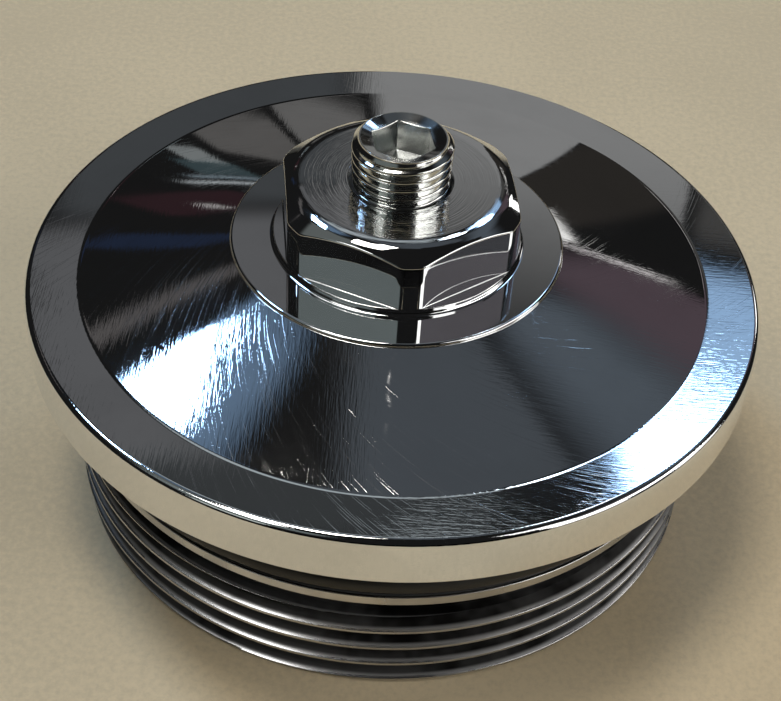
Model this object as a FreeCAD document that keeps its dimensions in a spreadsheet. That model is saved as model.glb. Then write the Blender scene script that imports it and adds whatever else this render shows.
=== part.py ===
import FreeCAD, Part
import os
import Sketcher

# Driving dimensions in millimetres: alias, value and what it measures
SIZES = [
    ("flange_diameter", 104.8, "outside of the flange"),
    ("flange_thickness", 7.4, "height of the flange's side"),
    ("flange_edge", 0.5, "chamfer of the flange's top edge"),
    ("flange_underside_edge", 0.25, "chamfer of the flange's lower edge"),
    ("rim_width", 7.6, "flat rim on top of the flange"),
    ("rim_fillet", 1.0, "hollow rounding where the cone meets the rim"),
    ("ring_diameter", 47.0, "flat ring round the hexagon"),
    ("ring_rise", 5.9, "ring above the rim"),
    ("ring_step", 0.5, "small wall at the ring's outer edge"),
    ("ring_edge", 0.25, "chamfer of the ring's outer edge"),
    ("hex_flats", 31.75, "wrench size over the flats"),
    ("hex_corners", 35.0, "turned diameter left over the corners"),
    ("hex_rise", 9.7, "hexagon's top above the ring"),
    ("hex_top_diameter", 29.0, "flat top inside the chamfer"),
    ("hex_chamfer_rise", 1.73, "height of the turned chamfer over the corners"),
    ("hex_top_edge", 2.6, "polished rounding between the flat top and the chamfer"),
    ("hex_ledge", 1.0, "round ledge left under the milled flats"),
    ("hex_foot", 0.6, "sloped foot of the ledge"),
    ("skirt_height", 28.5, "foot of the skirt to the flange's underside"),
    ("pilot_diameter", 93.0, "plain part of the skirt that locates in the housing"),
    ("thread_diameter", 92.8, "crest of the skirt's thread"),
    ("thread_height", 13.9, "threaded length from the foot"),
    ("thread_pitch", 3.4, "rise of the thread in one turn"),
    ("thread_depth", 1.9, "crest to root"),
    ("thread_crest", 0.42, "flat left on the crest"),
    ("thread_root", 0.77, "flat at the bottom of the thread groove"),
    ("thread_phase", 3.24, "middle of the lowest full groove on the X axis"),
    ("relief_width", 3.0, "run-out groove above the thread"),
    ("land_height", 1.5, "narrow land between the run-out and the seal groove"),
    ("seal_section", 3.53, "thickness of the O-ring's section"),
    ("seal_groove_width", 4.7, "groove that holds the O-ring"),
    ("seal_groove_depth", 2.9, "groove depth below the pilot"),
    ("seal_clearance", 0.03, "O-ring above the floor of its groove"),
    ("foot_chamfer", 0.8, "lead chamfer at the foot of the skirt"),
    ("cavity_diameter", 80.0, "bore of the skirt"),
    ("cavity_depth", 28.5, "foot to the ceiling of the bore"),
    ("cavity_corner", 2.0, "chamfer at the ceiling of the bore"),
    ("cavity_chamfer", 0.6, "chamfer at the mouth of the bore"),
    ("plug_diameter", 13.62, "plug's thread crest at the top of the hexagon"),
    ("plug_taper", 0.0625, "taper of the pipe thread on diameter"),
    ("plug_proud", 6.86, "plug above the hexagon's top"),
    ("plug_engaged", 5.84, "plug inside the port"),
    ("plug_rim_diameter", 12.1, "outer edge of the plug's top rim"),
    ("plug_lead", 1.0, "height of the tapered lead at the plug's top"),
    ("plug_end_chamfer", 0.7, "chamfer at the plug's lower end"),
    ("plug_dish_diameter", 11.7, "shallow dish in the plug's top"),
    ("plug_dish_depth", 2.0, "depth of that dish, taken to the axis"),
    ("plug_pitch", 1.411, "pitch of the pipe thread"),
    ("plug_thread_depth", 0.85, "crest to root of the pipe thread"),
    ("plug_thread_crest", 0.25, "flat left on the pipe thread's crest"),
    ("plug_thread_root", 0.18, "flat at the bottom of the pipe thread's groove"),
    ("plug_thread_start", 0.61, "first turn of the plug's open thread below the hexagon's top"),
    ("plug_thread_height", 6.6, "rise of the plug's open thread"),
    ("socket_flats", 7.94, "hexagon socket over the flats"),
    ("socket_depth", 5.2, "socket below the plug's top"),
    ("socket_turn", 42.0, "turn of the socket in degrees"),
    ("hex_turn", 37.8, "turn of the wrench hexagon in degrees"),
    ("port_clearance", 0.05, "radial clearance of the plug in its port"),
    ("port_depth", 9.0, "tapered length of the port"),
    ("port_drill", 11.1, "drilled way from the port to the bore"),
    ("port_chamfer", 0.5, "chamfer at the port's mouth"),
    ("cutter_overrun", 0.1, "how far a thread cutter reaches past the crest"),
]

doc = FreeCAD.newDocument("fuel_cap")
sheet = doc.addObject("Spreadsheet::Sheet", "sizes")
for row, (alias, value, meaning) in enumerate(SIZES, start=1):
    sheet.set(f"A{row}", meaning)
    sheet.set(f"B{row}", str(value))
    sheet.setAlias(f"B{row}", alias)
doc.recompute()

# Heights above the foot, as expressions in the sheet's names
SEAT = "sizes.skirt_height"
RIM = f"{SEAT} + sizes.flange_thickness"
RING = f"{RIM} + sizes.ring_rise"
HEX_TOP = f"{RING} + sizes.hex_rise"
PLUG_TOP = f"{HEX_TOP} + sizes.plug_proud"
PLUG_END = f"{HEX_TOP} - sizes.plug_engaged"
LAND = "sizes.thread_height + sizes.relief_width"
SEAL_FLOOR = f"{LAND} + sizes.land_height"
SEAL_ROOF = f"{SEAL_FLOOR} + sizes.seal_groove_width"

# Radii, as expressions in the sheet's names
FLANGE = "sizes.flange_diameter / 2"
RIM_INNER = f"{FLANGE} - sizes.rim_width"
RING_OUTER = "sizes.ring_diameter / 2"
CORNER = "sizes.hex_corners / 2"
PILOT = "sizes.pilot_diameter / 2"
CREST = "sizes.thread_diameter / 2"
ROOT = f"{CREST} - sizes.thread_depth"
SEAL_ROOT = f"{PILOT} - sizes.seal_groove_depth"
PLUG = "sizes.plug_diameter / 2"
PORT = f"{PLUG} + sizes.port_clearance"


def worth(expression):
    """The number that an expression gives with the sheet as it is."""
    value = sheet.evalExpression(expression.replace("sizes.", ""))
    return float(getattr(value, "Value", value))


def origin_plane(body, role):
    """The body's own origin plane with this role."""
    return next(item for item in body.Origin.OriginFeatures if item.Role == role)


def new_sketch(body, name, role, height=None):
    """A sketch on one of the body's origin planes, lifted along its normal by an expression."""
    sketch = body.newObject("Sketcher::SketchObject", name)
    sketch.AttachmentSupport = [(origin_plane(body, role), "")]
    sketch.MapMode = "FlatFace"
    if height:
        sketch.setExpression("AttachmentOffset.Base.z", height)
    return sketch


def hold(sketch, kind, geometry, point, name, expression):
    """Hold a sketch point at a distance from the origin that follows an expression."""
    if expression == "0":
        axis = -2 if kind == "DistanceX" else -1
        sketch.addConstraint(Sketcher.Constraint("PointOnObject", geometry, point, axis))
        return
    index = sketch.addConstraint(Sketcher.Constraint(kind, -1, 1, geometry, point, worth(expression)))
    sketch.renameConstraint(index, name)
    sketch.setExpression(f"Constraints.{name}", expression)


def outline(body, name, corners):
    """A closed outline in the X-Z plane through named corners, each a radius and a height."""
    sketch = new_sketch(body, name, "XZ_Plane")
    spots = [FreeCAD.Vector(worth(radius), worth(height), 0) for _, radius, height in corners]
    count = len(spots)
    for index in range(count):
        sketch.addGeometry(Part.LineSegment(spots[index], spots[(index + 1) % count]), False)
    for index in range(count):
        sketch.addConstraint(Sketcher.Constraint("Coincident", index, 2, (index + 1) % count, 1))
    for index, (corner, radius, height) in enumerate(corners):
        hold(sketch, "DistanceX", index, 1, f"{corner}_radius", radius)
        hold(sketch, "DistanceY", index, 1, f"{corner}_height", height)
    return sketch


def turned(body, kind, name, corners):
    """A Revolution or a Groove made by a full turn of an outline about the body's axis."""
    sketch = outline(body, f"{name}_outline", corners)
    feature = body.newObject(f"PartDesign::{kind}", name)
    feature.Profile = sketch
    feature.ReferenceAxis = (sketch, ["V_Axis"])
    feature.Angle = 360
    doc.recompute()
    return feature


def hexagon(sketch, flats, turn):
    """A regular hexagon about the origin, sized by its inscribed circle and turned with its sketch."""
    half = worth(flats) / 2
    corner = FreeCAD.Vector(2 * half / 3 ** 0.5, 0, 0)
    spots = [FreeCAD.Rotation(FreeCAD.Vector(0, 0, 1), 60 * step) * corner for step in range(6)]
    for index in range(6):
        sketch.addGeometry(Part.LineSegment(spots[index], spots[(index + 1) % 6]), False)
    circle = sketch.addGeometry(Part.Circle(FreeCAD.Vector(), FreeCAD.Vector(0, 0, 1), half), True)
    for index in range(6):
        sketch.addConstraint(Sketcher.Constraint("Coincident", index, 2, (index + 1) % 6, 1))
        sketch.addConstraint(Sketcher.Constraint("Tangent", index, circle))
    for index in range(4):
        sketch.addConstraint(Sketcher.Constraint("Equal", index, index + 1))
    sketch.addConstraint(Sketcher.Constraint("Coincident", circle, 3, -1, 1))
    sketch.addConstraint(Sketcher.Constraint("PointOnObject", 0, 1, -1))
    size = sketch.addConstraint(Sketcher.Constraint("Radius", circle, half))
    sketch.renameConstraint(size, "half_flats")
    sketch.setExpression("Constraints.half_flats", f"{flats} / 2")
    sketch.setExpression("AttachmentOffset.Rotation.Angle", turn)


def circles_at(shape, radius, height):
    """Names of the circular edges about the axis with this radius at this height."""
    found = []
    for index, edge in enumerate(shape.Edges, start=1):
        curve = edge.Curve
        if isinstance(curve, Part.Circle):
            near = abs(curve.Radius - worth(radius)) < 1e-3 and abs(curve.Center.z - worth(height)) < 1e-3
            if near and abs(curve.Center.x) < 1e-3 and abs(curve.Center.y) < 1e-3:
                found.append(f"Edge{index}")
    return found


def eased(body, kind, name, size, *places):
    """A Fillet or Chamfer of the body's tip on the circular edges at these radii and heights."""
    base = body.Tip
    edges = [edge for radius, height in places for edge in circles_at(base.Shape, radius, height)]
    if len(edges) != len(places):
        raise RuntimeError(f"{name}: {len(edges)} edges found for {len(places)} places")
    feature = body.newObject(f"PartDesign::{kind}", name)
    feature.Base = (base, edges)
    feature.setExpression("Radius" if kind == "Fillet" else "Size", size)
    doc.recompute()
    return feature


def helical_groove(body, name, corners, pitch, height, taper="0"):
    """A right-hand groove cut by an outline that climbs the body's axis."""
    sketch = outline(body, f"{name}_outline", corners)
    feature = body.newObject("PartDesign::SubtractiveHelix", name)
    feature.Profile = sketch
    feature.ReferenceAxis = (sketch, ["V_Axis"])
    feature.Mode = "pitch-height-angle"
    feature.setExpression("Pitch", pitch)
    feature.setExpression("Height", height)
    feature.setExpression("Angle", taper)
    doc.recompute()
    return feature


def thread_corners(crest_radius, depth, pitch, crest, root, middle):
    """Corners of a thread groove about a height: straight flanks from the root to just past the crest."""
    half_mouth = f"({pitch} - {crest}) / 2"
    half_root = f"{root} / 2"
    half_wide = f"{half_mouth} + sizes.cutter_overrun * ({half_mouth} - {half_root}) / {depth}"
    outer = f"{crest_radius} + sizes.cutter_overrun"
    inner = f"{crest_radius} - {depth}"
    return [
        ("outer_low", outer, f"{middle} - ({half_wide})"),
        ("outer_high", outer, f"{middle} + {half_wide}"),
        ("inner_high", inner, f"{middle} + {half_root}"),
        ("inner_low", inner, f"{middle} - {half_root}"),
    ]


def make_cap_body():
    """The cap: turned from one billet, bored, threaded, and milled to a wrench hexagon on top."""
    body = doc.addObject("PartDesign::Body", "cap_body")
    turned(body, "Revolution", "blank", [
        ("axis_foot", "0", "0"),
        ("foot", f"{CREST} - sizes.foot_chamfer", "0"),
        ("thread_start", CREST, "sizes.foot_chamfer"),
        ("thread_end", CREST, "sizes.thread_height"),
        ("relief_low", ROOT, "sizes.thread_height"),
        ("relief_high", ROOT, LAND),
        ("land", PILOT, LAND),
        ("seat", PILOT, SEAT),
        ("flange_low", FLANGE, SEAT),
        ("flange_high", FLANGE, RIM),
        ("rim", RIM_INNER, RIM),
        ("cone", RING_OUTER, f"{RING} - sizes.ring_step"),
        ("ring", RING_OUTER, RING),
        ("boss", CORNER, RING),
        ("chamfer", CORNER, f"{HEX_TOP} - sizes.hex_chamfer_rise"),
        ("top", "sizes.hex_top_diameter / 2", HEX_TOP),
        ("axis_top", "0", HEX_TOP),
    ])
    eased(body, "Chamfer", "flange_edge", "sizes.flange_edge", (FLANGE, RIM))
    eased(body, "Chamfer", "flange_underside_edge", "sizes.flange_underside_edge", (FLANGE, SEAT))
    eased(body, "Fillet", "rim_fillet", "sizes.rim_fillet", (RIM_INNER, RIM))
    eased(body, "Chamfer", "ring_edge", "sizes.ring_edge", (RING_OUTER, RING))
    eased(body, "Chamfer", "hex_foot", "sizes.hex_foot", (CORNER, RING))
    eased(body, "Fillet", "hex_top_edge", "sizes.hex_top_edge", ("sizes.hex_top_diameter / 2", HEX_TOP))

    turned(body, "Groove", "cavity", [
        ("axis_foot", "0", "0"),
        ("mouth", "sizes.cavity_diameter / 2", "0"),
        ("ceiling", "sizes.cavity_diameter / 2", "sizes.cavity_depth"),
        ("axis_ceiling", "0", "sizes.cavity_depth"),
    ])
    eased(body, "Chamfer", "cavity_corner", "sizes.cavity_corner",
          ("sizes.cavity_diameter / 2", "sizes.cavity_depth"))
    eased(body, "Chamfer", "cavity_chamfer", "sizes.cavity_chamfer", ("sizes.cavity_diameter / 2", "0"))

    port_end = f"{HEX_TOP} - sizes.port_depth"
    turned(body, "Groove", "port", [
        ("axis_foot", "0", "0"),
        ("drill_low", "sizes.port_drill / 2", "0"),
        ("drill_high", "sizes.port_drill / 2", port_end),
        ("taper_low", f"{PORT} - sizes.port_depth * sizes.plug_taper / 2", port_end),
        ("taper_high", PORT, HEX_TOP),
        ("axis_top", "0", HEX_TOP),
    ])
    eased(body, "Chamfer", "port_chamfer", "sizes.port_chamfer", (PORT, HEX_TOP))

    turned(body, "Groove", "seal_groove", [
        ("floor_inner", SEAL_ROOT, SEAL_FLOOR),
        ("floor_outer", FLANGE, SEAL_FLOOR),
        ("roof_outer", FLANGE, SEAL_ROOF),
        ("roof_inner", SEAL_ROOT, SEAL_ROOF),
    ])

    flats_sketch = new_sketch(body, "flats_outline", "XY_Plane", f"{RING} + sizes.hex_ledge")
    hexagon(flats_sketch, "sizes.hex_flats", "sizes.hex_turn")
    waste_circle = Part.Circle(FreeCAD.Vector(), FreeCAD.Vector(0, 0, 1), worth(FLANGE))
    waste = flats_sketch.addGeometry(waste_circle, False)
    flats_sketch.addConstraint(Sketcher.Constraint("Coincident", waste, 3, -1, 1))
    reach = flats_sketch.addConstraint(Sketcher.Constraint("Radius", waste, worth(FLANGE)))
    flats_sketch.renameConstraint(reach, "waste_radius")
    flats_sketch.setExpression("Constraints.waste_radius", FLANGE)
    flats = body.newObject("PartDesign::Pocket", "wrench_flats")
    flats.Profile = flats_sketch
    flats.Type = "ThroughAll"
    flats.Reversed = True
    doc.recompute()

    start = "sizes.thread_phase - sizes.thread_pitch"
    corners = thread_corners(CREST, "sizes.thread_depth", "sizes.thread_pitch", "sizes.thread_crest",
                             "sizes.thread_root", start)
    helical_groove(body, "skirt_thread", corners, "sizes.thread_pitch",
                   f"{LAND} - sizes.thread_pitch / 2 - ({start})")
    return body


def make_o_ring():
    """The rubber O-ring, stretched round the floor of the seal groove."""
    ring = doc.addObject("Part::Torus", "o_ring")
    ring.setExpression("Radius1", f"{SEAL_ROOT} + sizes.seal_clearance + sizes.seal_section / 2")
    ring.setExpression("Radius2", "sizes.seal_section / 2")
    ring.setExpression("Placement.Base.z", f"{SEAL_FLOOR} + sizes.seal_groove_width / 2")
    return ring


def make_port_plug():
    """The pipe plug in the port: a tapered, threaded steel plug with a hexagon socket."""
    body = doc.addObject("PartDesign::Body", "port_plug")
    half_taper = "sizes.plug_taper / 2"
    turned(body, "Revolution", "plug_blank", [
        ("axis_end", "0", PLUG_END),
        ("end", f"{PLUG} - sizes.plug_engaged * {half_taper} - sizes.plug_end_chamfer", PLUG_END),
        ("shank", f"{PLUG} - (sizes.plug_engaged - sizes.plug_end_chamfer) * {half_taper}",
         f"{PLUG_END} + sizes.plug_end_chamfer"),
        ("lead", f"{PLUG} + (sizes.plug_proud - sizes.plug_lead) * {half_taper}",
         f"{PLUG_TOP} - sizes.plug_lead"),
        ("rim", "sizes.plug_rim_diameter / 2", PLUG_TOP),
        ("dish", "sizes.plug_dish_diameter / 2", PLUG_TOP),
        ("axis_dish", "0", f"{PLUG_TOP} - sizes.plug_dish_depth"),
    ])
    socket_sketch = new_sketch(body, "socket_outline", "XY_Plane", PLUG_TOP)
    hexagon(socket_sketch, "sizes.socket_flats", "sizes.socket_turn")
    socket = body.newObject("PartDesign::Pocket", "socket")
    socket.Profile = socket_sketch
    socket.setExpression("Length", "sizes.socket_depth")
    doc.recompute()

    corners = thread_corners(f"{PLUG} - sizes.plug_thread_start * {half_taper}", "sizes.plug_thread_depth",
                             "sizes.plug_pitch", "sizes.plug_thread_crest", "sizes.plug_thread_root",
                             f"{HEX_TOP} - sizes.plug_thread_start")
    helical_groove(body, "plug_thread", corners, "sizes.plug_pitch", "sizes.plug_thread_height",
                   f"atan({half_taper})")
    return body


pieces = [make_cap_body(), make_o_ring(), make_port_plug()]
doc.recompute()
for item in doc.Objects:
    if "Invalid" in item.State or "Error" in item.State:
        raise RuntimeError(f"{item.Label} did not build")
os.makedirs("parts", exist_ok=True)
for piece in pieces:
    if piece.Shape.isNull() or not piece.Shape.isValid():
        raise RuntimeError(f"{piece.Label} is not a sound solid")
    piece.Shape.exportStep(f"parts/{piece.Label}.step")
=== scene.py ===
import functools
import math

import bpy
import numpy as np
from mathutils import Matrix, Vector


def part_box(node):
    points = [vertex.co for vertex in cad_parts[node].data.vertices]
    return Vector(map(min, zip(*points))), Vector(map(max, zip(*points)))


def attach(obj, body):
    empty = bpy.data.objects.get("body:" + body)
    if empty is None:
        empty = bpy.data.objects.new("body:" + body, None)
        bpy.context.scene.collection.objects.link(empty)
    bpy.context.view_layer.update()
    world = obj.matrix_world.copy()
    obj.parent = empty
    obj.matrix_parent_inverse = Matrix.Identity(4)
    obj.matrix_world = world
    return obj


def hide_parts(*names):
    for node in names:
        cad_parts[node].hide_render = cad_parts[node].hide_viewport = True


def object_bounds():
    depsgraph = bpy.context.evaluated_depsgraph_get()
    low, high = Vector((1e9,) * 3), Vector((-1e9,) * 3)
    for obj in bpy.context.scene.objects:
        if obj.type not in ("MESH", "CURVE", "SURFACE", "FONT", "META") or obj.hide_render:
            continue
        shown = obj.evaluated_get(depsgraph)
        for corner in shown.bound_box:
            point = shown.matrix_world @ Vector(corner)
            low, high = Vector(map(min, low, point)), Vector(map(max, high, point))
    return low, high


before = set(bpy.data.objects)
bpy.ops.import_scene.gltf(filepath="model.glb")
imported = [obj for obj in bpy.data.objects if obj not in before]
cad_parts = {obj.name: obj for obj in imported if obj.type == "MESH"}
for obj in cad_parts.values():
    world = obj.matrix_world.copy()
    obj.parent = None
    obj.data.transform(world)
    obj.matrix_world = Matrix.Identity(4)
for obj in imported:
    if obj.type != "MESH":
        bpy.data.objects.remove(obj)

bl_info = {
    "name": "Polished filter cap",
    "version": (1, 0, 0),
    "blender": (4, 5, 0),
    "location": "3D View > Sidebar > Filter Cap",
    "description": "Dresses the packed frame of a polished screw-in filter cap",
    "category": "Mesh",
}

CAD_LOW, CAD_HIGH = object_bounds()
CAP_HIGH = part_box("cap_body")[1]
SEAL_LOW, SEAL_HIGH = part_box("o_ring")
PLUG_LOW, PLUG_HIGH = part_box("port_plug")
# The photograph's frame, in pixels
IMAGE_WIDTH = 781
# Vertices closer than this, in metres, are one vertex
MERGE = 1e-8
# Less than any length or angle that matters
TINY = 1e-12
FULL_TURN = 2 * math.pi
# Share of the shorter run that a rounding may take
ROUNDING_SHARE = 0.48
# Rows that a thread has in one pitch besides those of its corners
EVEN_ROWS = 10
SEAL_ROWS, SEAL_COLUMNS = 32, 360
FLOOR_COLUMNS = 96
CARD_ROWS, CARD_COLUMNS = 9, 13
# Nearest distance that the camera sees, in metres
CAMERA_NEAR = 0.01
# A card whose four sides don't fade
SHARP = (0, 0, 0, 0)


def length(name, description, default):
    """A length in metres that a user may change."""
    return bpy.props.FloatProperty(
        name=name, description=description, default=default, subtype="DISTANCE", unit="LENGTH", precision=5)


def angle(name, description, degrees):
    """An angle that a user may change, written in degrees."""
    return bpy.props.FloatProperty(
        name=name, description=description, default=math.radians(degrees), subtype="ANGLE", unit="ROTATION")


def number(name, description, default):
    """A plain number that a user may change."""
    return bpy.props.FloatProperty(name=name, description=description, default=default, precision=4)


def colour(name, description, default):
    """A linear colour that a user may change."""
    return bpy.props.FloatVectorProperty(
        name=name, description=description, default=default, subtype="COLOR", size=3, min=0, max=1)


class CapSizes(bpy.types.PropertyGroup):
    """Sizes of the turned and milled cap."""

    flange_radius: length("Flange radius", "Outside of the flange", CAP_HIGH.x)
    underside: length("Underside", "Height of the flange's lower face", 0.0285)
    rim: length("Rim", "Height of the flat rim", 0.0359)
    rim_inner: length("Rim inner radius", "Where the cone meets the rim", 0.0448)
    ring: length("Ring", "Height of the flat ring round the hexagon", 0.0418)
    ring_radius: length("Ring radius", "Outer edge of that ring", 0.0235)
    ring_step: length("Ring step", "Small wall at the ring's edge", 0.0005)
    half_flats: length("Half flats", "Axis to a flat of the hexagon", 0.015875)
    corner_radius: length("Corner radius", "Turned radius left at the hexagon's corners", 0.0175)
    ledge: length("Ledge", "Round ledge under the milled flats", 0.001)
    top: length("Top", "Height of the hexagon's flat top", CAP_HIGH.z)
    top_radius: length("Top radius", "Flat top inside the chamfer", 0.0145)
    chamfer_rise: length("Chamfer rise", "Height of the turned chamfer", 0.00173)
    hex_turn: angle("Hexagon turn", "Turn of a corner from the X axis", 37.8)
    crest_radius: length("Crest radius", "Crest of the skirt's thread", 0.0464)
    thread_depth: length("Thread depth", "Crest to root", 0.0019)
    thread_pitch: length("Thread pitch", "Rise in one turn", 0.0034)
    crest_flat: length("Crest flat", "Flat on the thread's crest", 0.00042)
    root_flat: length("Root flat", "Flat at the thread's root", 0.00077)
    thread_phase: length("Thread phase", "Height of a groove's middle on the X axis", 0.00324)
    thread_top: length("Thread top", "End of the thread above the foot", 0.0139)
    land_low: length("Land foot", "Lower side of the narrow land", 0.0169)
    land_high: length("Land top", "Upper side of the narrow land", 0.0184)
    groove_high: length("Groove top", "Upper side of the seal groove", 0.0231)
    groove_radius: length("Groove radius", "Floor of the seal groove", 0.0436)
    pilot_radius: length("Pilot radius", "Plain wall above the seal", 0.0465)
    foot_chamfer: length("Foot chamfer", "Lead chamfer at the foot", 0.0008)
    cavity_radius: length("Cavity radius", "Bore of the skirt", 0.040)
    ceiling: length("Ceiling", "Height of the bore's end", 0.0285)
    cavity_corner: length("Cavity corner", "Chamfer at the ceiling", 0.002)
    mouth_chamfer: length("Mouth chamfer", "Chamfer at the bore's mouth", 0.0006)
    port_radius: length("Port radius", "Port at the hexagon's top", 0.00686)
    port_depth: length("Port depth", "Tapered length of the port", 0.009)
    port_chamfer: length("Port chamfer", "Chamfer at the port's mouth", 0.0005)
    drill_radius: length("Drill radius", "Drilled way below the port", 0.00555)
    flange_edge: length("Flange edge", "Polished rounding of the flange", 0.001)
    top_edge: length("Top edge", "Polished rounding of the hexagon's top", 0.0046)
    foot_hollow: length("Foot hollow", "Hollow rounding at the ledge's foot", 0.0007)
    rim_hollow: length("Rim hollow", "Hollow rounding between rim and cone", 0.003)
    corner_edge: length("Corner edge", "Easing between flats and corners, on radius", 0.00026)
    hex_edge: length("Hexagon edge", "Rounding between flats and chamfer", 0.0003)
    ring_edge: length("Ring edge", "Rounding of the ring's outer edge", 0.0004)
    fine_edge: length("Fine edge", "Rounding of broken edges", 0.00014)


class PlugSizes(bpy.types.PropertyGroup):
    """Sizes of the pipe plug in the port."""

    end: length("End", "Height of the plug's lower end", PLUG_LOW.z)
    top: length("Top", "Height of the plug's rim", PLUG_HIGH.z)
    radius: length("Radius", "Thread crest level with the hexagon's top", 0.00681)
    taper: number("Taper", "Taper of the pipe thread on diameter", 0.0625)
    rim_radius: length("Rim radius", "Outer edge of the rim", 0.00605)
    lead: length("Lead", "Height of the tapered lead", 0.001)
    end_chamfer: length("End chamfer", "Chamfer at the lower end", 0.0007)
    dish_radius: length("Dish radius", "Edge of the dished top", 0.00585)
    dish_depth: length("Dish depth", "Depth of that dish, taken to the axis", 0.002)
    pitch: length("Pitch", "Rise of the thread in one turn", 0.001411)
    thread_depth: length("Thread depth", "Crest to root", 0.00085)
    crest_flat: length("Crest flat", "Flat on the thread's crest", 0.00044)
    root_flat: length("Root flat", "Flat at the thread's root", 0.0001)
    thread_start: length("Thread start", "Groove's middle on the X axis below the hexagon's top", 0.00061)
    half_flats: length("Half flats", "Axis to a flat of the socket", 0.00397)
    socket_depth: length("Socket depth", "Socket below the rim", 0.0052)
    socket_turn: angle("Socket turn", "Turn of a corner from the X axis", 42.0)
    crest_edge: length("Crest edge", "Rounding of the thread's crest", 0.0004)
    mouth_edge: length("Mouth edge", "Rounding of the socket's mouth", 0.00024)
    point: length("Drill point", "Drilled point below the socket's floor", 0.0009)
    fine_edge: length("Fine edge", "Rounding of roots and edges", 0.00009)


class FinishColours(bpy.types.PropertyGroup):
    """Colours of the finishes."""

    aluminium: colour("Aluminium", "Polished aluminium", (0.86, 0.87, 0.88))
    turned: colour("Turned aluminium", "Machined aluminium under the flange", (0.62, 0.62, 0.63))
    steel: colour("Plated steel", "Plating of the plug", (0.80, 0.81, 0.79))
    rubber: colour("Rubber", "Black rubber of the seal", (0.007, 0.007, 0.007))
    # Painted shade: this near-black colour darkens the thread grooves and the socket's floor, partly old oil
    # and partly the shade in those recesses.
    soil_and_shade: colour("Soil", "Old oil in the recesses", (0.004, 0.0037, 0.0034))
    floor: colour("Floor", "Pale warm board", (0.80, 0.66, 0.44))
    daylight: colour("Daylight", "Tint of the window lights", (0.42, 0.66, 1.0))
    room: colour("Room", "Dim room round the stage", (0.009, 0.009, 0.009))


class StageSettings(bpy.types.PropertyGroup):
    """Camera and room."""

    eye_x: length("Eye X", "Camera place along X", 0.00023)
    eye_y: length("Eye Y", "Camera place along Y", -0.17885)
    eye_z: length("Eye Z", "Camera place above the floor", 0.18115)
    elevation: angle("Elevation", "How far the camera looks down", 42.09)
    roll: angle("Roll", "Camera roll", 3.98)
    focal_pixels: number("Focal length", "Focal length in pixels of the photograph", 1600.0)
    sensor: number("Sensor", "Sensor width in millimetres", 36.0)
    floor_radius: length("Floor radius", "Reach of the floor", 6.0)
    light_distance: length("Light distance", "Lights from the object", 2.6)
    flag_distance: length("Flag distance", "Dark flag behind the camera, from the object", 0.4)


class FilterCapSettings(bpy.types.PropertyGroup):
    """Everything that a user may change."""

    cap: bpy.props.PointerProperty(type=CapSizes, name="Cap", description="Sizes of the cap")
    plug: bpy.props.PointerProperty(type=PlugSizes, name="Plug", description="Sizes of the plug")
    finish: bpy.props.PointerProperty(type=FinishColours, name="Finish", description="Colours of the finishes")
    stage: bpy.props.PointerProperty(type=StageSettings, name="Stage", description="Camera and room")


# Shapes

def rounded(corners, segments, columns):
    """A chain of straight runs whose corners are eased by true arcs, one chain for each column.

    A corner is a radius, a height and a rounding, and its radius and height may differ by column. A fourth
    value is the share of the shorter run that the rounding may take, where it isn't the usual one.
    The arc is a rational Bezier curve: the corner is its middle point and the cosine of half the turn
    is that point's weight, which makes it part of a circle. The first and last corners stay as they are.
    Gives the points and the unit directions along the chain, each as rows, columns and (radius, height).
    """
    spots = np.array([[np.broadcast_to(part, columns) for part in corner[:2]] for corner in corners], float)
    spots = np.moveaxis(spots, 1, 2)
    runs = np.diff(spots, axis=0)
    spans = np.linalg.norm(runs, axis=-1, keepdims=True)
    ways = runs / np.maximum(spans, TINY)
    step = np.linspace(0, 1, segments + 1)[:, None, None]
    first_share, middle_share, last_share = (1 - step) ** 2, 2 * step * (1 - step), step ** 2
    points, directions = [spots[:1]], [ways[:1]]
    for index in range(1, len(corners) - 1):
        before, after = ways[index - 1], ways[index]
        half_turn = np.arccos(np.clip((before * after).sum(-1, keepdims=True), -1, 1)) / 2
        share = corners[index][3] if len(corners[index]) > 3 else ROUNDING_SHARE
        room = share * np.minimum(spans[index - 1], spans[index])
        reach = np.minimum(corners[index][2] * np.tan(half_turn), room)
        weight = np.cos(half_turn)
        start, end = spots[index] - before * reach, spots[index] + after * reach
        total = first_share + middle_share * weight + last_share
        arc = (first_share * start + middle_share * weight * spots[index] + last_share * end) / total
        pull = 2 * ((1 - step) * (weight * spots[index] - start) + step * (end - weight * spots[index]))
        change = 2 * (weight - 1) * (1 - 2 * step)
        heading = pull - arc * change
        size = np.linalg.norm(heading, axis=-1, keepdims=True)
        points.append(arc)
        directions.append(np.where(size > TINY, heading / np.maximum(size, TINY), before + after))
    points.append(spots[-1:])
    directions.append(ways[-1:])
    return np.concatenate(points), np.concatenate(directions)


def hexagon_radius(turns, half_flats, corner_turn, blend):
    """Radius of a hexagon at each angle: half the flats over the cosine of the angle to a flat's middle,
    with a smooth minimum of the two nearest flats."""
    sector = FULL_TURN / 6
    off = np.abs((turns - corner_turn) % sector - sector / 2)
    return smooth_least(half_flats / np.cos(off), half_flats / np.cos(sector - off), blend)


def smooth_least(one, other, blend):
    """The lesser of two values, with the change from one to the other rounded over a length."""
    share = np.maximum(blend - np.abs(one - other), 0) / blend
    return np.minimum(one, other) - share ** 2 * blend / 4


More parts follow.
